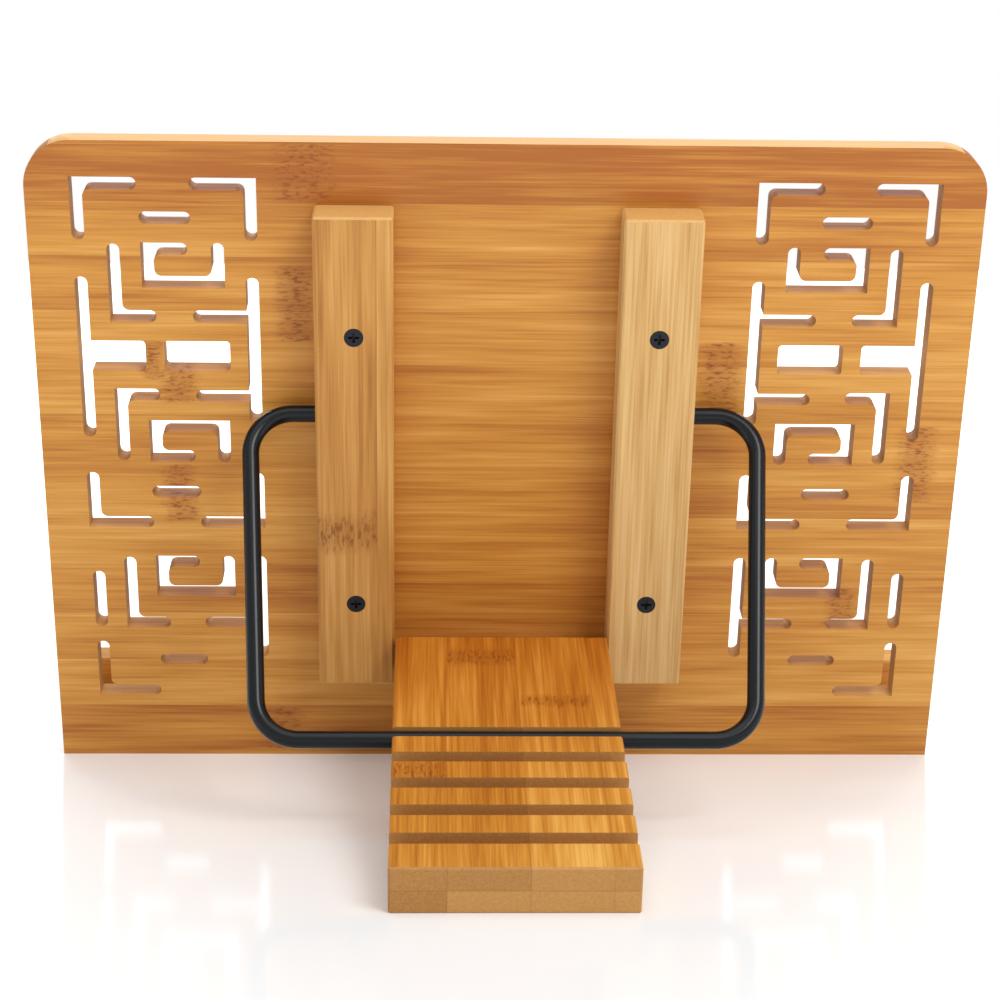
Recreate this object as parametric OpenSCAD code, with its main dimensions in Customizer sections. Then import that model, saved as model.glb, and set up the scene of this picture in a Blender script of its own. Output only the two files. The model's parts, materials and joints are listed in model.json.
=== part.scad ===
// Folding album stand. A pierced back panel with a ledge along its foot leans
// on a slotted tail board. A wire bail, hung between two battens on the back of
// the panel, hooks into one of the tail's slots and so sets how far it leans.
//
// Every piece is drawn in the panel's own frame: X across the stand, Y out of
// the back face and Z up the panel, from the panel's bottom back edge. The
// whole frame then leans back until the tail's far edge is on the floor too.

/* [Back panel] */
// Width of the panel
panel_w = 340; // [320:5:360]
// Height of the panel
panel_h = 248; // [240:1:260]
// Thickness of the panel
panel_t = 8.5; // [7.5:0.5:12]
// Radius of the two upper corners
panel_corner_r = 17; // [8:1:20]

/* [Lattice] */
// Width of each cut line
cut_w = 4.6; // [3.6:0.2:5]
// Radius inside each bend of a cut line
cut_fillet_r = 2.5; // [1:0.5:3]
// Radius on the corners of the wide windows
window_r = 1.5; // [0.5:0.5:3]

/* [Ledge] */
// Width of the ledge and of its lip
ledge_w = 330; // [300:5:330]
// Depth of the ledge in front of the panel
ledge_d = 25; // [20:1:35]
// Thickness of the ledge
ledge_t = 10; // [9:0.5:14]
// Height of the lip from the foot of the panel
lip_h = 24; // [20:1:30]
// Thickness of the lip
lip_t = 10; // [9:0.5:14]

/* [Battens] */
// Width of each batten
batten_w = 28.3; // [24:0.1:32]
// Length of each batten
batten_l = 185.5; // [180:0.5:190]
// Thickness of each batten
batten_t = 15; // [15:0.5:18]
// Height of the battens' lower ends on the panel
batten_z = 40; // [38:1:42]

/* [Tail board] */
// Width of the tail board
tail_w = 79.4; // [70:0.2:90]
// Length of the tail board
tail_l = 182; // [180:0.5:186]
// Thickness of the tail board
tail_t = 16.5; // [15:0.5:16.5]
// Gap between the tail board and each batten
tail_gap = 0.6; // [0.4:0.1:1.5]
// Slope of the bevel over the tail's hinge end, which clears the panel as it folds up
tail_bevel_deg = 30; // [28:1:32]
// Number of slots across the tail board
slot_count = 5; // [3:1:5]
// Distance from one slot to the next
slot_pitch = 17.8; // [16:0.1:18]
// Distance from the tail's far end to the last slot
slot_end = 18; // [14:0.5:20]
// Slot that the bail is hooked into, counted from the hinge
slot_in_use = 1; // [1:1:3]

/* [Bail] */
// Diameter of the bail's wire
wire_d = 6.2; // [5:0.1:6.5]
// Length from the bail's pivot to its cross run
bail_l = 121.8; // [118:0.1:125]
// Half width of the bail at its pivot
bail_top_x = 92.6; // [90:0.2:96]
// Half width of the bail at its cross run
bail_foot_x = 86.4; // [84:0.2:90]
// Radius of the bail's bends
bail_bend_r = 15; // [10:1:18]

/* [Hidden] */
$fn = 48;
over = 1;
edge = 0.6;
bamboo = "#c98a3f";
bamboo_pale = "#d9a75f";
bamboo_dark = "#c07a30";
black_steel = "#1c1c1e";
bare_steel = "#b8b8b8";

// Battens, and what passes through them
batten_x = tail_w / 2 + tail_gap + batten_w / 2;
batten_edge = 0.8;
run_gap = 0.05;
pin_d = 4;
pin_y = 11.5;
pin_z = 52.8;
pin_in_tail = 16;
pivot_y = 7.5;
pivot_z = 148.5;
bail_end_in = 16;
bore_spare = 1;
rod_overlap = 0.25;
rod_slim = 0.03;
screw_d = 4;
screw_head_d = 7;
screw_head_h = 2.4;
screw_in_panel = 5;
screw_l = batten_t + screw_in_panel;
screw_zs = [181, 74.5];
recess_w = 0.9;
recess_l = 3.8;
recess_h = 1.6;

// Tail board: the pin is near its hinge end. The square lower corner of that end
// meets the panel when the tail drops, and stops it.
tail_back = 9.5;
tail_low = -6.75;
tail_high = tail_low + tail_t;
tail_bevel_l = 18;
wire_play = 0.6;
wire_sink = 0.15;
slot_w = wire_d + wire_play;
wire_drop = wire_d / 2 + wire_sink;
slot_h = wire_drop + (wire_d + wire_play) / 2;

// Dowels in the ledge
dowel_d = 6;
dowel_in_panel = 5;
dowel_in_ledge = 9;
dowel_in_lip = 6;
dowel_xs = [-140, -105, -35, 35, 105, 140];
dowel_nose = 0.6;

// The tail hinge, the bail's pivot and the bail's seat in its slot make a
// triangle, which gives the angle of the tail and of the bail to the panel.
seat_y = tail_l - tail_back - slot_end - (slot_count - slot_in_use) * slot_pitch;
seat_z = tail_high - wire_drop;
seat_r = norm([seat_y, seat_z]);
base_r = norm([pivot_z - pin_z, pivot_y - pin_y]);
base_deg = atan2(pivot_y - pin_y, pivot_z - pin_z);
apex_deg = acos((base_r * base_r + seat_r * seat_r - bail_l * bail_l) / (2 * base_r * seat_r));
tail_deg = base_deg + apex_deg + atan2(seat_z, seat_y);
wire_y = pin_y + seat_r * sin(base_deg + apex_deg);
wire_z = pin_z + seat_r * cos(base_deg + apex_deg);
bail_deg = atan2(wire_y - pivot_y, pivot_z - wire_z);

// The tail's far lower edge and the panel's bottom back edge stand on the floor
foot_l = tail_l - tail_back - edge;
foot_y = pin_y + foot_l * sin(tail_deg) - tail_low * cos(tail_deg);
foot_z = pin_z + foot_l * cos(tail_deg) + tail_low * sin(tail_deg);
lean_deg = atan2(foot_z, foot_y);

// The origin is on the floor, midway between the lip and the tail's far end
front_y = edge * sin(lean_deg) - (panel_t + ledge_d + lip_t) * cos(lean_deg);
back_y = pin_y * cos(lean_deg) + pin_z * sin(lean_deg)
    + (tail_l - tail_back) * sin(tail_deg + lean_deg)
    - (tail_high - edge) * cos(tail_deg + lean_deg);
mid_y = (front_y + back_y) / 2;

// Lattice, as cut lines through [distance from the panel's side, distance down
// from its top], on five columns
c1 = 18;
c2 = 30;
c3 = 42;
c4 = 67;
c5 = 79;
branch_x = 59.7;
lattice_lines = [
    [[37, 15.5], [c1, 15.5], [c1, 34]],
    [[60, 15.5], [c5, 15.5], [c5, 34]],
    [[c3, 28], [55.5, 28]],
    [[54, 39.5], [c3, 39.5], [c3, 52], [c4, 52], [c4, 39.5]],
    [[c2, 40], [c2, 65], [c3, 65]],
    [[c1, 52.5], [c1, 110]],
    [[c5, 52.5], [c5, 104]],
    [[branch_x, 65], [c5, 65]],
    [[branch_x, 96], [c5, 96]],
    [[c3, 95.5], [c2, 95.5], [c2, 119.5]],
    [[54, 120], [c3, 120], [c3, 108], [c4, 108], [c4, 120]],
    [[c1, 129], [c1, 147], [37.5, 147]],
    [[c3, 134.5], [55.5, 134.5]],
    [[c5, 129], [c5, 147], [branch_x, 147]],
    [[c2, 164], [c2, 189.5], [c3, 189.5]],
    [[54, 163.5], [c3, 163.5], [c3, 176], [c4, 176], [c4, 163.5]],
    [[c1, 170], [c1, 189]],
    [[c5, 163.5], [c5, 202]],
    [[branch_x, 189.5], [c5, 189.5]],
    [[c3, 205.5], [55.5, 205.5]],
    [[c1, 200], [c1, 219], [37, 219]]
];
window_top = 74.5;
window_h = 11.5;
windows = [[c1, 39.8], [46.5, 70.3]];

function unit(v) = v / norm(v);

// Placing ---------------------------------------------------------------

// Stands a piece of the panel's frame on the floor
module standing() {
    translate([0, -mid_y, 0]) rotate([-lean_deg, 0, 0]) children();
}

// Turns the tail's own frame, Y along it and Z out of its top, to its place
module on_tail() {
    translate([0, pin_y, pin_z]) rotate([90 - tail_deg, 0, 0]) children();
}

// Shared shapes ---------------------------------------------------------

// Rectangle from [0, 0] with its four corners cut off
module cut_rectangle(size, cut) {
    polygon([
        [cut, 0], [size[0] - cut, 0], [size[0], cut], [size[0], size[1] - cut],
        [size[0] - cut, size[1]], [cut, size[1]], [0, size[1] - cut], [0, cut]
    ]);
}

// Board from [0, 0, 0] with all its edges eased
module eased_board(size, cut) {
    intersection() {
        linear_extrude(size[2]) cut_rectangle([size[0], size[1]], cut);
        translate([0, size[1], 0]) rotate([90, 0, 0])
            linear_extrude(size[1]) cut_rectangle([size[0], size[2]], cut);
        rotate([90, 0, 90]) linear_extrude(size[0]) cut_rectangle([size[1], size[2]], cut);
    }
}

// Rectangle from low to high with its corners rounded
module round_rectangle(low, high, r) {
    translate(low + [r, 0]) square([high[0] - low[0] - 2 * r, high[1] - low[1]]);
    translate(low + [0, r]) square([high[0] - low[0], high[1] - low[1] - 2 * r]);
    for (x = [low[0] + r, high[0] - r], y = [low[1] + r, high[1] - r])
        translate([x, y]) circle(r);
}

// Rod that starts along +X in the XY plane and bends to the right after each
// stretch but the last. Its straights run a little way into its bends, and are
// a hair slimmer so that they stay inside them.
module bent_rod(stretches, turns, bend_r, d, i = 0) {
    before = i == 0 ? 0 : rod_overlap;
    after = i == len(turns) ? 0 : rod_overlap;
    translate([-before, 0, 0]) rotate([0, 90, 0])
        cylinder(h = stretches[i] + before + after, d = d - rod_slim);
    if (i < len(turns)) translate([stretches[i], -bend_r, 0]) {
        rotate([0, 0, 90]) rotate_extrude(angle = -turns[i])
            translate([bend_r, 0]) circle(d = d);
        rotate([0, 0, -turns[i]]) translate([0, bend_r, 0])
            bent_rod(stretches, turns, bend_r, d, i + 1);
    }
}

// Dowel along -Z from [0, 0, 0], with both ends eased
module dowel(length) {
    translate([0, 0, -length]) rotate_extrude() polygon([
        [0, 0], [dowel_d / 2 - dowel_nose, 0], [dowel_d / 2, dowel_nose],
        [dowel_d / 2, length - dowel_nose], [dowel_d / 2 - dowel_nose, length], [0, length]
    ]);
}

// Back panel ------------------------------------------------------------

module panel_outline() {
    r = panel_corner_r;
    translate([-panel_w / 2, 0]) square([panel_w, panel_h - r]);
    translate([r - panel_w / 2, 0]) square([panel_w - 2 * r, panel_h]);
    for (side = [-1, 1]) translate([side * (panel_w / 2 - r), panel_h - r]) circle(r);
}

// One straight stretch of a cut line, which runs across or down
module cut_stretch(from, to) {
    across = from[1] == to[1] ? 1 : 0;
    low = [min(from[0], to[0]), min(from[1], to[1])];
    span = [abs(to[0] - from[0]), abs(to[1] - from[1])];
    translate(low - [1 - across, across] * cut_w / 2)
        square(span + [1 - across, across] * cut_w);
}

// Fills the inside of a bend at a point with a rounded corner
module cut_bend(before, at, after) {
    inward = unit(before - at) + unit(after - at);
    corner = at + inward * cut_w / 2;
    translate(at - [1, 1] * cut_w / 2) square(cut_w);
    difference() {
        translate(corner + (inward - [1, 1]) * cut_fillet_r / 2) square(cut_fillet_r);
        translate(corner + inward * cut_fillet_r) circle(cut_fillet_r);
    }
}

module cut_line(points) {
    last = len(points) - 1;
    for (i = [0:last - 1]) cut_stretch(points[i], points[i + 1]);
    for (end = [points[0], points[last]]) translate(end) circle(cut_w / 2);
    if (last > 1) for (i = [1:last - 1]) cut_bend(points[i - 1], points[i], points[i + 1]);
}

// Lattice on one side, drawn from the panel's upper corner
module lattice() {
    for (line = lattice_lines) cut_line(line);
    for (window = windows)
        round_rectangle([window[0], window_top], [window[1], window_top + window_h], window_r);
}

module panel_face() {
    difference() {
        panel_outline();
        for (side = [0, 1]) mirror([side, 0])
            translate([-panel_w / 2, panel_h]) mirror([0, 1]) lattice();
    }
}

module back_panel() {
    color(bamboo) standing() difference() {
        rotate([90, 0, 0]) linear_extrude(panel_t) panel_face();
        for (side = [-1, 1], z = screw_zs) translate([side * batten_x, -screw_in_panel, z])
            rotate([-90, 0, 0]) cylinder(h = screw_in_panel + over, d = screw_d);
        for (x = dowel_xs) translate([x, dowel_in_panel - panel_t, ledge_t / 2])
            rotate([90, 0, 0]) cylinder(h = dowel_in_panel + over, d = dowel_d);
    }
}

// Ledge -----------------------------------------------------------------

module ledge() {
    color(bamboo) standing() difference() {
        translate([-ledge_w / 2, -panel_t - ledge_d, 0]) cube([ledge_w, ledge_d, ledge_t]);
        for (x = dowel_xs, y = [-panel_t - dowel_in_ledge, -panel_t - ledge_d - over])
            translate([x, y, ledge_t / 2])
                rotate([-90, 0, 0]) cylinder(h = dowel_in_ledge + over, d = dowel_d);
    }
}

module ledge_lip() {
    lip_y = -panel_t - ledge_d - lip_t;
    color(bamboo_pale) standing() difference() {
        translate([-ledge_w / 2, lip_y, 0]) eased_board([ledge_w, lip_t, lip_h], edge);
        for (x = dowel_xs) translate([x, lip_y + lip_t - dowel_in_lip, ledge_t / 2])
            rotate([-90, 0, 0]) cylinder(h = dowel_in_lip + over, d = dowel_d);
    }
}

module ledge_dowels() {
    color(bamboo_pale) standing()
        for (x = dowel_xs) translate([x, dowel_in_panel - panel_t, ledge_t / 2])
            rotate([-90, 0, 0]) dowel(dowel_in_panel + dowel_in_ledge);
}

module lip_dowels() {
    color(bamboo_pale) standing()
        for (x = dowel_xs) translate([x, dowel_in_ledge - panel_t - ledge_d, ledge_t / 2])
            rotate([-90, 0, 0]) dowel(dowel_in_lip + dowel_in_ledge);
}

// Battens and their fasteners -------------------------------------------

// Batten on one side of the tail: -1 is left and 1 is right, seen from the front
module batten(side) {
    outer_x = batten_w / 2;
    color(bamboo_pale) standing() translate([side * batten_x, 0, 0]) difference() {
        translate([-batten_w / 2, 0, batten_z])
            eased_board([batten_w, batten_t, batten_l], batten_edge);
        translate([-batten_w, pin_y, pin_z]) rotate([0, 90, 0])
            cylinder(h = 2 * batten_w, d = pin_d);
        translate([side * outer_x, pivot_y, pivot_z]) rotate([0, -side * 90, 0])
            translate([0, 0, -over])
                cylinder(h = bail_end_in + bore_spare + over, d = wire_d + 2 * run_gap);
        for (z = screw_zs) translate([0, 0, z]) rotate([-90, 0, 0]) {
            translate([0, 0, -over]) cylinder(h = batten_t + 2 * over, d = screw_d);
            translate([0, 0, batten_t - screw_head_h])
                cylinder(h = screw_head_h, d1 = screw_d, d2 = screw_head_d);
        }
    }
}

// Countersunk screw along -Z from [0, 0, 0], with a cross recess
module countersunk_screw() {
    point_l = 2;
    difference() {
        translate([0, 0, -screw_l]) rotate_extrude() polygon([
            [0, 0], [screw_d / 2, point_l], [screw_d / 2, screw_l - screw_head_h],
            [screw_head_d / 2, screw_l], [0, screw_l]
        ]);
        for (turn = [0, 90]) rotate([0, 0, turn])
            translate([-recess_l / 2, -recess_w / 2, -recess_h])
                cube([recess_l, recess_w, recess_h + over]);
    }
}

module batten_screw(side, z) {
    color(black_steel) standing() translate([side * batten_x, batten_t, z])
        rotate([-90, 0, 0]) countersunk_screw();
}

module hinge_pin(side) {
    pin_l = batten_w + tail_gap + pin_in_tail;
    color(bare_steel) standing()
        translate([side * (batten_x + batten_w / 2), pin_y, pin_z]) rotate([0, -side * 90, 0])
            cylinder(h = pin_l, d = pin_d);
}

// Tail board ------------------------------------------------------------

// Side view of the tail: its hinge end bevelled above, and its slots
module tail_profile() {
    bevel_h = tail_bevel_l * tan(tail_bevel_deg);
    difference() {
        polygon([
            [-tail_back, tail_low], [tail_l - tail_back, tail_low],
            [tail_l - tail_back, tail_high], [tail_bevel_l - tail_back, tail_high],
            [-tail_back, tail_high - bevel_h]
        ]);
        for (i = [0:slot_count - 1])
            translate([tail_l - tail_back - slot_end - i * slot_pitch - slot_w / 2,
                tail_high - slot_h]) square([slot_w, slot_h + over]);
    }
}

module tail_board() {
    color(bamboo_dark) standing() on_tail() difference() {
        intersection() {
            translate([-tail_w / 2, 0, 0]) rotate([90, 0, 90])
                linear_extrude(tail_w) tail_profile();
            translate([-tail_w / 2, -tail_back, tail_low]) linear_extrude(tail_t)
                cut_rectangle([tail_w, tail_l], edge);
            translate([-tail_w / 2, tail_l - tail_back, tail_low]) rotate([90, 0, 0])
                linear_extrude(tail_l) cut_rectangle([tail_w, tail_t], edge);
        }
        for (z = [tail_low, tail_high])
            translate([0, tail_l - tail_back, z]) rotate([45, 0, 0])
                cube([tail_w + over, edge * sqrt(2), edge * sqrt(2)], center = true);
        for (side = [-1, 1]) translate([side * tail_w / 2, 0, 0]) rotate([0, -side * 90, 0])
            translate([0, 0, -over])
                cylinder(h = pin_in_tail + bore_spare + over, d = pin_d + 2 * run_gap);
    }
}

// Bail ------------------------------------------------------------------

module bail() {
    end_x = batten_x + batten_w / 2 - bail_end_in;
    leg_deg = atan2(bail_top_x - bail_foot_x, bail_l);
    upper_deg = 90 + leg_deg;
    lower_deg = 90 - leg_deg;
    upper_cut = bail_bend_r * tan(upper_deg / 2);
    lower_cut = bail_bend_r * tan(lower_deg / 2);
    leg_l = norm([bail_top_x - bail_foot_x, bail_l]) - upper_cut - lower_cut;
    color(black_steel) standing() translate([0, pivot_y, pivot_z])
        rotate([bail_deg - 90, 0, 0]) translate([-end_x, 0, 0]) mirror([1, 0, 0]) mirror([0, 1, 0])
            bent_rod(
                [bail_top_x - end_x - upper_cut, leg_l, 2 * (bail_foot_x - lower_cut), leg_l,
                    bail_top_x - end_x - upper_cut],
                [upper_deg, lower_deg, lower_deg, upper_deg], bail_bend_r, wire_d);
}

back_panel();
ledge();
ledge_lip();
batten(-1);  // batten_left
batten(1);  // batten_right
tail_board();
bail();
hinge_pin(-1);  // hinge_pin_left
hinge_pin(1);  // hinge_pin_right
batten_screw(-1, screw_zs[0]);  // screw_upper_left
batten_screw(1, screw_zs[0]);  // screw_upper_right
batten_screw(-1, screw_zs[1]);  // screw_lower_left
batten_screw(1, screw_zs[1]);  // screw_lower_right
ledge_dowels();
lip_dowels();
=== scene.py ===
import json
import math

import bpy
from mathutils import Euler, Matrix, Vector


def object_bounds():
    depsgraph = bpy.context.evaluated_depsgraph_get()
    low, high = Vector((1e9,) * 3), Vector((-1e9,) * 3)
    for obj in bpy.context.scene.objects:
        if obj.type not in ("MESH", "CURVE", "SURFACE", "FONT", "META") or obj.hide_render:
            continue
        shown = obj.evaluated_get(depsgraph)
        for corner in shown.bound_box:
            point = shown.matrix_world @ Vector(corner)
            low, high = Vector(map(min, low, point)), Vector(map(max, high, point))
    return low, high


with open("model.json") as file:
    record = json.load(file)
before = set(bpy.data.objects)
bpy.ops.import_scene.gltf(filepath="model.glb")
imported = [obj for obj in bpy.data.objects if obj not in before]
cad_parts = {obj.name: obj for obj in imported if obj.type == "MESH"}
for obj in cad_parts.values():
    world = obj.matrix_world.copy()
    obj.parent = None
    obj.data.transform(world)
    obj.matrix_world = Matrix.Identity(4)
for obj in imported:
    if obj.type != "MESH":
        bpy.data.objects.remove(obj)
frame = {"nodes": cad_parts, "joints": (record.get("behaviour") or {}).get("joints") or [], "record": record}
cad_low, cad_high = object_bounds()

MM = 0.001

# Sizes of the CAD's boards, in mm
PANEL_T = 8.5
LEDGE_D = 25
LEDGE_T = 10

# Where the boards lie. The ledge's top gives how far the stand leans back, and the
# panel's own frame: its origin is midway along the panel's lower back edge.
ledge_top = next(m for m in frame["record"]["mounts"] if m["name"] == "ledge_top")
lean = math.atan2(ledge_top["axis"][1], ledge_top["axis"][2])
ledge_middle = Vector((0, -(PANEL_T + LEDGE_D / 2) * MM, LEDGE_T * MM))
panel_foot = Vector(ledge_top["pos_m"]) - Matrix.Rotation(-lean, 3, "X") @ ledge_middle

# The tail board's largest face is its underside, which gives the board's slope
tail_pin = Vector(next(j for j in frame["joints"] if j["child"] == "tail")["pos_m"])
underside = max(frame["nodes"]["tail_board"].data.polygons, key=lambda face: face.area).normal
tail_slope = math.atan2(abs(underside.y), abs(underside.z))


# Node helpers ---------------------------------------------------------------


class Nodes:
    """A material's node tree, with short ways to add to it."""

    def __init__(self, tree):
        self.tree = tree

    def add(self, kind, **settings):
        node = self.tree.nodes.new(kind)
        for key, value in settings.items():
            setattr(node, key, value)
        return node

    def link(self, out, into):
        self.tree.links.new(out, into)

    def put(self, socket, value):
        if isinstance(value, bpy.types.NodeSocket):
            self.link(value, socket)
        else:
            socket.default_value = value

    def math(self, operation, a, b=0.0, c=0.0, clamp=False):
        node = self.add("ShaderNodeMath", operation=operation, use_clamp=clamp)
        for socket, value in zip(node.inputs, (a, b, c)):
            self.put(socket, value)
        return node.outputs[0]

    def swing(self, value, amount):
        """A value from 0 to 1, as a swing of that amount about nought."""
        return self.math("MULTIPLY", self.math("SUBTRACT", value, 0.5), amount)

    def noise(self, vector, scale=1.0, detail=2.0, roughness=0.5):
        node = self.add("ShaderNodeTexNoise")
        self.put(node.inputs["Vector"], vector)
        node.inputs["Scale"].default_value = scale
        node.inputs["Detail"].default_value = detail
        node.inputs["Roughness"].default_value = roughness
        return node.outputs["Fac"]

    def combine(self, x, y, z):
        node = self.add("ShaderNodeCombineXYZ")
        for socket, value in zip(node.inputs, (x, y, z)):
            self.put(socket, value)
        return node.outputs[0]

    def spread(self, value, low, high, to_low=0.0, to_high=1.0, smooth=False):
        node = self.add("ShaderNodeMapRange", clamp=True)
        node.interpolation_type = "SMOOTHSTEP" if smooth else "LINEAR"
        for socket, item in zip(node.inputs, (value, low, high, to_low, to_high)):
            self.put(socket, item)
        return node.outputs[0]

    def mix(self, factor, a, b, blend="MIX"):
        node = self.add("ShaderNodeMix", data_type="RGBA", blend_type=blend)
        self.put(node.inputs[0], factor)
        for socket, value in ((node.inputs[6], a), (node.inputs[7], b)):
            self.put(socket, value if isinstance(value, bpy.types.NodeSocket) else (*value, 1))
        return node.outputs[2]

    def bump(self, height, distance, strength):
        node = self.add("ShaderNodeBump")
        node.inputs["Strength"].default_value = strength
        node.inputs["Distance"].default_value = distance
        self.link(height, node.inputs["Height"])
        return node.outputs[0]


def new_material(name, **shader):
    material = bpy.data.materials.new(name)
    material.use_nodes = True
    nodes = Nodes(material.node_tree)
    bsdf = material.node_tree.nodes["Principled BSDF"]
    for key, value in shader.items():
        bsdf.inputs[key].default_value = value
    return material, nodes, bsdf


def colour(red, green, blue):
    """A colour by its display values from 0 to 255, as linear light."""
    return tuple(
        v / 12.92 if v <= 0.04045 else ((v + 0.055) / 1.055) ** 2.4
        for v in (red / 255, green / 255, blue / 255)
    )


# Bamboo ---------------------------------------------------------------------

FACE_ROUGHNESS = 0.4
EDGE_ROUGHNESS = 0.7
# A surface is an end or an edge where its normal leans past this
END_FACING = 0.6
# Fine, middle and broad fibres: cells per metre along and across the grain, and detail
FIBRES = ((22.0, 1150.0, 2.0), (13.0, 330.0, 2.0), (9.0, 60.0, 1.0))
# Specks in a knot, in cells per metre along, across and through, and the pores of an end
SPECKS = (300.0, 1000.0, 700.0)
PORES = (300.0, 1100.0, 1100.0)
# Glue between two strips and between two layers: its width in mm, and how dark it is
GLUE_LINE, GLUE_SHADE = 0.22, 0.3
SEAM, SEAM_SHADE = 0.15, 0.35
# How far a knot's edge wanders, and how soft its sides are, in mm
KNOT_WANDER = 9
KNOT_SOFT = 1.2
# What the dark tone is multiplied by in a knot, and in the dashes within it
KNOT_TINT = (0.86, 0.78, 0.8)
DASH_TINT = (0.6, 0.42, 0.36)


def board_axes(n, place, order):
    """The point and the normal in a board's own frame, as (along, across, through)."""
    turn, foot = place
    coordinates = n.add("ShaderNodeTexCoord")
    found = []
    for output, kind in (("Object", "POINT"), ("Normal", "VECTOR")):
        mapping = n.add("ShaderNodeMapping", vector_type=kind)
        n.link(coordinates.outputs[output], mapping.inputs["Vector"])
        mapping.inputs["Rotation"].default_value = (turn, 0, 0)
        if kind == "POINT":
            shift = Matrix.Rotation(turn, 3, "X") @ -foot
            mapping.inputs["Location"].default_value = shift
        split = n.add("ShaderNodeSeparateXYZ")
        n.link(mapping.outputs[0], split.inputs[0])
        found.append([split.outputs["XYZ".index(axis)] for axis in order])
    return found


def knot(n, along, across, jitter, at):
    """How much of a point lies in a node of the cane, a short band across one strip."""
    centre, middle, half_l, half_w = (v * MM for v in at)
    wander = n.swing(jitter, KNOT_WANDER * MM)
    off = n.math("ABSOLUTE", n.math("ADD", n.math("SUBTRACT", along, centre), wander))
    side = n.math("ABSOLUTE", n.math("SUBTRACT", across, middle))
    band = n.spread(off, half_l * 0.25, half_l * 1.15, 1, 0, smooth=True)
    inside = n.spread(side, half_w - KNOT_SOFT * MM, half_w, 1, 0, smooth=True)
    return n.math("MULTIPLY", band, inside)


def scaled(tone, factors):
    """A tone with its red, green and blue multiplied by the three factors."""
    return tuple(v * k for v, k in zip(tone, factors))


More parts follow.
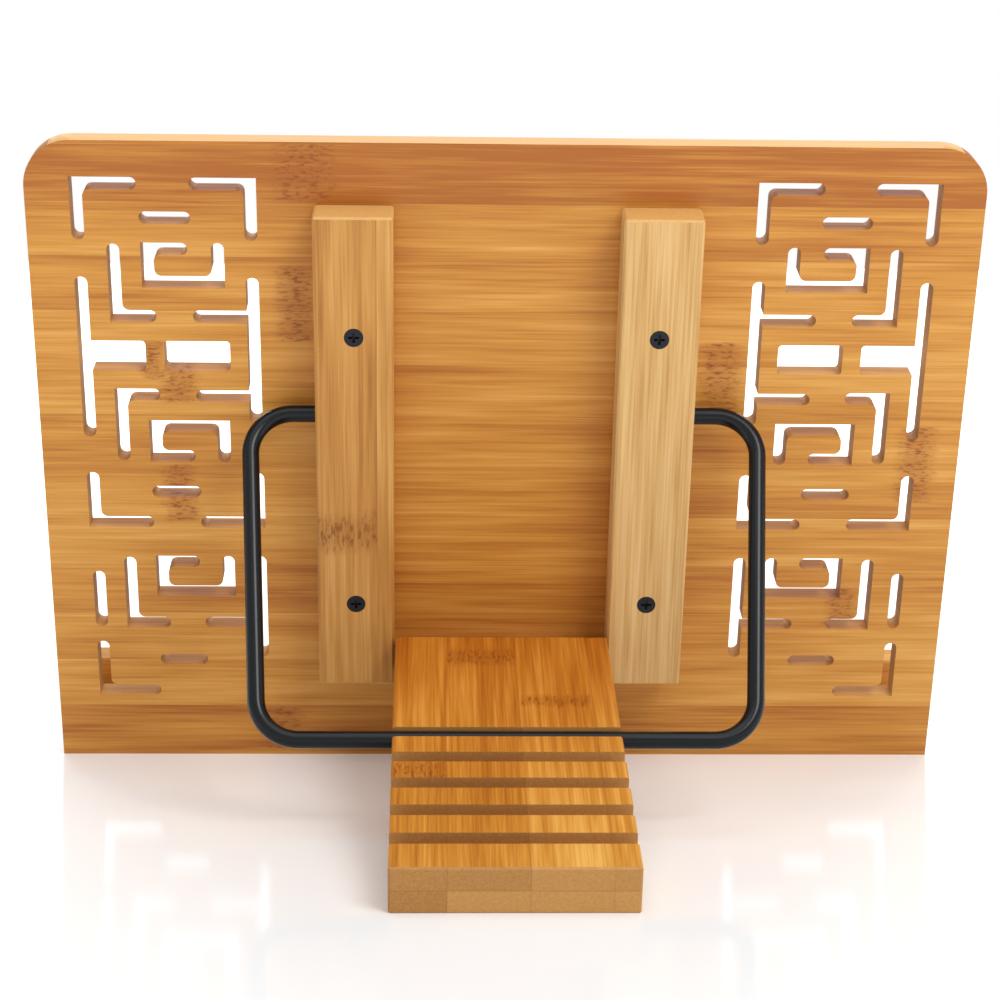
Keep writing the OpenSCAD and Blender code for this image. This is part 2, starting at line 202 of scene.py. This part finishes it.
def bamboo(name, place, order, tones, strip=20.0, start=0.0, layer=None, knots=(), end=None,
           fibre=1.0, tint=0.3, edge_strips=(), painted_shade_along=None, cut_shade_and_edge_light=None):
    """Strips glued side by side, each with its own tone and fibres along it.

    place: the board's frame. order: its axes along the grain, across the strips and
    through the board. tones: dark, middle and light. strip, start: the strips' width
    and where one begins, in mm. layer: where a second layer begins, in mm. knots: as
    (along, across, half length, half width). edge_strips: as (low, high, tone), across
    the strips. painted_shade_along: (from, to, first, last), painted shade and light along
    the board: between from and to, in mm, its colour is multiplied by a tone going from
    first to last.
    cut_shade_and_edge_light: (tint, half length, top, rim), painted shade on the walls of
    the cuts, which lie within that length and below that top, as a tint that their colour
    is multiplied by, and a painted highlight on the outer edges, as the colour they are
    drawn towards.
    """
    material, n, bsdf = new_material(name, Roughness=FACE_ROUGHNESS)
    bsdf.inputs["Specular IOR Level"].default_value = 0.3
    (along, across, through), (facing, _, outward) = board_axes(n, place, order)

    # Each strip has a number, and its own random tone
    in_strips = n.math("DIVIDE", n.math("SUBTRACT", across, start * MM), strip * MM)
    number = n.math("FLOOR", in_strips)
    if layer is not None:
        upper = n.math("GREATER_THAN", through, layer * MM)
        number = n.math("ADD", number, n.math("MULTIPLY", upper, 7.0))
    white_noise = n.add("ShaderNodeTexWhiteNoise", noise_dimensions="1D")
    n.link(n.math("ADD", number, 0.37), white_noise.inputs["W"])
    random = white_noise.outputs["Value"]
    shift = n.math("MULTIPLY", number, 3.17)

    # Fibres: long, thin streaks that stop at a glue line
    def streaks(per_m_along, per_m_across, detail):
        vector = n.combine(
            n.math("ADD", n.math("MULTIPLY", along, per_m_along), shift),
            n.math("MULTIPLY", across, per_m_across),
            n.math("MULTIPLY", through, per_m_across * 0.7))
        return n.noise(vector, 1.0, detail, 0.6)

    fine, middle, broad = (streaks(*rates) for rates in FIBRES)
    fibres = n.math("ADD", n.swing(fine, 0.9 * fibre), n.swing(middle, 1.15 * fibre))
    strips = n.math("ADD", n.swing(broad, 0.9), n.swing(random, tint * 2))
    tone = n.math("ADD", fibres, strips)
    for low, high, amount in edge_strips:
        above = n.math("GREATER_THAN", across, low * MM)
        inside = n.math("MULTIPLY", above, n.math("LESS_THAN", across, high * MM))
        tone = n.math("ADD", tone, n.math("MULTIPLY", inside, amount))
    tone = n.math("ADD", tone, 0.5)

    ramp = n.add("ShaderNodeValToRGB")
    n.link(tone, ramp.inputs[0])
    dark, mid, light = tones
    ramp.color_ramp.elements[0].position = 0.0
    ramp.color_ramp.elements[0].color = (*dark, 1)
    ramp.color_ramp.elements[1].position = 1.0
    ramp.color_ramp.elements[1].color = (*light, 1)
    element = ramp.color_ramp.elements.new(0.5)
    element.color = (*mid, 1)
    result = ramp.outputs[0]
    # Painted shade and light: the colour is multiplied by a tone that runs along the board, darker at one
    # end and lighter at the other
    if painted_shade_along:
        low, high, first, last = painted_shade_along
        painted_shade = n.mix(n.spread(along, low * MM, high * MM), first, last)
        result = n.mix(1.0, result, painted_shade, blend="MULTIPLY")

    # Glue lines
    line = n.math("LESS_THAN", n.math("MULTIPLY", n.math("FRACT", in_strips), strip), GLUE_LINE)
    result = n.mix(n.math("MULTIPLY", line, GLUE_SHADE), result, scaled(dark, (0.5, 0.5, 0.5)))

    def cells(per_m_along, per_m_across, per_m_through):
        vector = n.combine(
            n.math("MULTIPLY", along, per_m_along),
            n.math("MULTIPLY", across, per_m_across),
            n.math("MULTIPLY", through, per_m_through))
        return n.noise(vector, 1.0, 2.0, 0.6)

    # Nodes of the cane
    if knots:
        mask = None
        for at in knots:
            one = knot(n, along, across, middle, at)
            mask = one if mask is None else n.math("MAXIMUM", mask, one)
        speck = cells(*SPECKS)
        dashes = n.math("MULTIPLY", mask, n.spread(speck, 0.47, 0.66, 0.0, 0.75, smooth=True))
        result = n.mix(n.math("MULTIPLY", mask, 0.4), result, scaled(dark, KNOT_TINT))
        result = n.mix(dashes, result, scaled(dark, DASH_TINT))

    # Ends across the grain show the cane's pores, duller than its faces
    if end:
        pores = cells(*PORES)
        pore_tone = n.math("ADD", n.swing(pores, 0.8), n.swing(random, 0.5))
        pore_tone = n.math("ADD", pore_tone, 0.5, clamp=True)
        end_face = n.mix(pore_tone, end[0], end[1])
        if layer is not None:
            seam = n.math("ABSOLUTE", n.math("SUBTRACT", through, layer * MM))
            seam = n.math("MULTIPLY", n.math("LESS_THAN", seam, SEAM * MM), SEAM_SHADE)
            seam = n.math("MAXIMUM", seam, n.math("MULTIPLY", line, GLUE_SHADE))
            end_face = n.mix(seam, end_face, scaled(end[0], (0.45, 0.45, 0.45)))
        is_end = n.math("GREATER_THAN", n.math("ABSOLUTE", facing), END_FACING)
        result = n.mix(is_end, result, end_face)

    # Sawn edges and end grain are rougher than the planed faces. The walls of the cuts get painted shade,
    # and the outer edges a painted highlight.
    is_edge = n.math("LESS_THAN", n.math("ABSOLUTE", outward), END_FACING)
    if cut_shade_and_edge_light:
        painted_wall_shade, half_l, top, painted_edge_light = cut_shade_and_edge_light
        inside = n.math("MULTIPLY", n.math("LESS_THAN", n.math("ABSOLUTE", along), half_l * MM),
                        n.math("LESS_THAN", across, top * MM))
        # Painted shade: the walls of the cuts are multiplied by a darker tint
        walls = n.math("MULTIPLY", inside, is_edge)
        result = n.mix(walls, result, n.mix(1.0, result, painted_wall_shade, blend="MULTIPLY"))
        # Painted highlight: the outer edges are drawn part way towards a pale tone
        rim = n.math("MULTIPLY", n.math("SUBTRACT", is_edge, walls), 0.6)
        result = n.mix(rim, result, painted_edge_light)
    n.link(n.spread(is_edge, 0, 1, FACE_ROUGHNESS, EDGE_ROUGHNESS), bsdf.inputs["Roughness"])

    n.link(result, bsdf.inputs["Base Color"])
    n.link(n.bump(n.math("ADD", fine, middle), 0.06 * MM, 0.35), bsdf.inputs["Normal"])
    return material


panel_place = (lean, panel_foot)
tail_place = (tail_slope, tail_pin)

face_tones = (colour(165, 95, 32), colour(199, 137, 56), colour(222, 167, 88))
brown_tones = (colour(164, 108, 46), colour(191, 135, 65), colour(210, 160, 90))
pale_tones = (colour(180, 133, 71), colour(205, 162, 99), colour(222, 184, 126))
tail_tones = (colour(168, 94, 24), colour(202, 129, 46), colour(230, 165, 80))
end_tones = (colour(163, 111, 55), colour(206, 154, 88))
batten_end = (colour(186, 134, 70), colour(218, 168, 98))

panel_wood = bamboo(
    "panel_bamboo", panel_place, "XZY", face_tones, strip=20.4, start=1.6, tint=0.12, fibre=0.85,
    knots=[
        (72, 237, 13, 11), (76, 188, 8, 15), (-79, 160, 9, 15), (-154, 126, 8, 16), (84, 12, 9, 10),
        (119, 157, 8, 8), (120, 113, 7, 12), (128, 166, 5, 8), (-131, 66, 7, 9)],
    edge_strips=[(226, 260, -0.34), (-5, 22, -0.3)], end=end_tones,
    # Painted shade on the lattice's cut walls, and a painted highlight on the panel's outer edges
    cut_shade_and_edge_light=((0.84, 0.80, 0.72), 168, 246, colour(228, 188, 126)))
ledge_wood = bamboo(
    "ledge_bamboo", panel_place, "XYZ", face_tones, strip=12.6, start=-34.0, tint=0.2, end=end_tones)
lip_wood = bamboo(
    "lip_bamboo", panel_place, "XZY", brown_tones, strip=30.0, start=-2.0, tint=0.1,
    knots=[(-96, 12, 9, 12), (128, 12, 9, 12)], end=end_tones)
batten_left_wood = bamboo(
    "batten_left_bamboo", panel_place, "ZXY", pale_tones, strip=60.0, start=-66.4, tint=0.06,
    fibre=1.3, end=batten_end)
batten_right_wood = bamboo(
    "batten_right_bamboo", panel_place, "ZXY", brown_tones, strip=60.0, start=-13.7, tint=0.06,
    fibre=1.3, knots=[(104, 57.5, 9, 11.5)], end=batten_end)
tail_wood = bamboo(
    "tail_bamboo", tail_place, "YXZ", tail_tones, strip=26.2, start=-57.4, layer=1.5, tint=0.16,
    fibre=1.2, knots=[(25, 8, 8, 13), (60, -18, 5, 13), (111, 30, 9, 9.5)], end=end_tones,
    # Painted shade near the hinge, where the board lies in the recess by the panel, and painted light
    # towards its far end
    painted_shade_along=(10, 165, (0.82, 0.70, 0.40), (1.05, 1.20, 1.25)))
dowel_wood = bamboo(
    "dowel_bamboo", panel_place, "YXZ", brown_tones, strip=60.0, start=-200.0, end=end_tones)


# Steel ----------------------------------------------------------------------


def steel(name, base, metallic, roughness, grain_per_m, depth, specular=0.5):
    """Metal with a fine uneven surface: a painted or an oxidised skin, or a brushed one."""
    material, n, bsdf = new_material(
        name, Metallic=metallic, Roughness=roughness, **{"Specular IOR Level": specular})
    coordinates = n.add("ShaderNodeTexCoord")
    grain = n.noise(coordinates.outputs["Object"], grain_per_m, 2.0, 0.5)
    n.link(n.mix(grain, scaled(base, (0.8, 0.8, 0.8)), scaled(base, (1.2, 1.2, 1.2))),
           bsdf.inputs["Base Color"])
    n.link(n.bump(grain, depth * MM, 0.25), bsdf.inputs["Normal"])
    return material


bail_paint = steel("bail_black_paint", colour(10, 13, 17), 0.0, 0.21, 900.0, 0.02, 0.23)
screw_oxide = steel("screw_black_oxide", colour(24, 26, 32), 0.5, 0.42, 1400.0, 0.02)
pin_steel = steel("pin_steel", colour(120, 112, 104), 1.0, 0.42, 1600.0, 0.01)

looks = {
    "back_panel": panel_wood, "ledge": ledge_wood, "ledge_lip": lip_wood,
    "batten_left": batten_left_wood, "batten_right": batten_right_wood, "tail_board": tail_wood,
    "bail": bail_paint, "hinge_pin_left": pin_steel, "hinge_pin_right": pin_steel,
    "screw_upper_left": screw_oxide, "screw_upper_right": screw_oxide,
    "screw_lower_left": screw_oxide, "screw_lower_right": screw_oxide,
    "ledge_dowels": dowel_wood, "lip_dowels": dowel_wood,
}
for name, material in looks.items():
    node = frame["nodes"][name]
    node.data.materials.clear()
    node.data.materials.append(material)

# Sharp sawn edges are eased a little, by widths in mm
for name, width in (("back_panel", 0.45), ("ledge", 0.6)):
    node = frame["nodes"][name]
    weld = node.modifiers.new("weld", "WELD")
    weld.merge_threshold = 0.00001
    bevel = node.modifiers.new("ease", "BEVEL")
    bevel.width = width * MM
    bevel.segments = 2
    bevel.limit_method = "ANGLE"
    bevel.angle_limit = math.radians(50)
    bevel.harden_normals = True

# Floor, light and camera ----------------------------------------------------

# The floor's width, in metres
FLOOR_SIZE = 8
FLOOR_ROUGHNESS = 0.1
# The floor's glow: where its rise begins and ends, in metres from the stand, and how strong
GLOW_FROM, GLOW_TO = 0.15, 1.1
GLOW_NEAR, GLOW_FAR = 0.12, 1.0
# How brightly the world lights the wood, against how bright it looks
WORLD_FILL = 0.4
CAMERA_PLACE = (0.0281, 0.80557, 0.23535)
CAMERA_TURN_DEG = (81.381, -0.549, 178.246)
CAMERA_LENS = 82.8
CAMERA_SENSOR = 36

bpy.ops.mesh.primitive_plane_add(size=FLOOR_SIZE, location=(0, 0, 0))
floor = bpy.context.object
floor.name = "floor"
glowing_floor, n, bsdf = new_material("glowing_floor", Roughness=FLOOR_ROUGHNESS)
bsdf.inputs["Base Color"].default_value = (0.90, 0.93, 0.95, 1)
bsdf.inputs["Specular IOR Level"].default_value = 0.38
# The floor glows, as painted light: dim by the stand, rising into a bright white sweep away from it
place = n.add("ShaderNodeTexCoord").outputs["Object"]
length = n.add("ShaderNodeVectorMath", operation="LENGTH")
n.link(place, length.inputs[0])
glow = n.spread(length.outputs["Value"], GLOW_FROM, GLOW_TO, GLOW_NEAR, GLOW_FAR, smooth=True)
bsdf.inputs["Emission Color"].default_value = (1, 1, 1, 1)
n.link(glow, bsdf.inputs["Emission Strength"])
floor.data.materials.append(glowing_floor)


def softbox(name, location, aim, size, power):
    data = bpy.data.lights.new(name, "AREA")
    data.shape = "RECTANGLE"
    data.size, data.size_y = size
    data.energy = power
    light = bpy.data.objects.new(name, data)
    bpy.context.scene.collection.objects.link(light)
    light.location = location
    light.rotation_euler = (Vector(aim) - Vector(location)).to_track_quat("-Z", "Y").to_euler()


middle = (cad_low + cad_high) / 2
softbox("key", (-0.9, 1.3, 1.5), middle, (0.9, 0.9), 22)
softbox("top", (0, 0.6, 2.2), middle, (2.0, 2.0), 17)
softbox("rim", (0, -1.6, 1.4), middle, (2.4, 1.0), 36)

# The world lights the stand softly, and looks white
world = bpy.data.worlds.new("studio")
bpy.context.scene.world = world
world.use_nodes = True
n = Nodes(world.node_tree)
background = world.node_tree.nodes["Background"]
background.inputs["Color"].default_value = (1, 1, 1, 1)
path = n.add("ShaderNodeLightPath")
fill = n.spread(path.outputs["Is Diffuse Ray"], 0, 1, 1.0, WORLD_FILL)
n.link(fill, background.inputs["Strength"])

camera_data = bpy.data.cameras.new("camera")
camera_data.lens = CAMERA_LENS
camera_data.sensor_width = CAMERA_SENSOR
camera = bpy.data.objects.new("camera", camera_data)
bpy.context.scene.collection.objects.link(camera)
camera.location = CAMERA_PLACE
camera.rotation_euler = Euler([math.radians(v) for v in CAMERA_TURN_DEG], "XYZ")
bpy.context.scene.camera = camera
bpy.context.scene.view_settings.view_transform = "Standard"
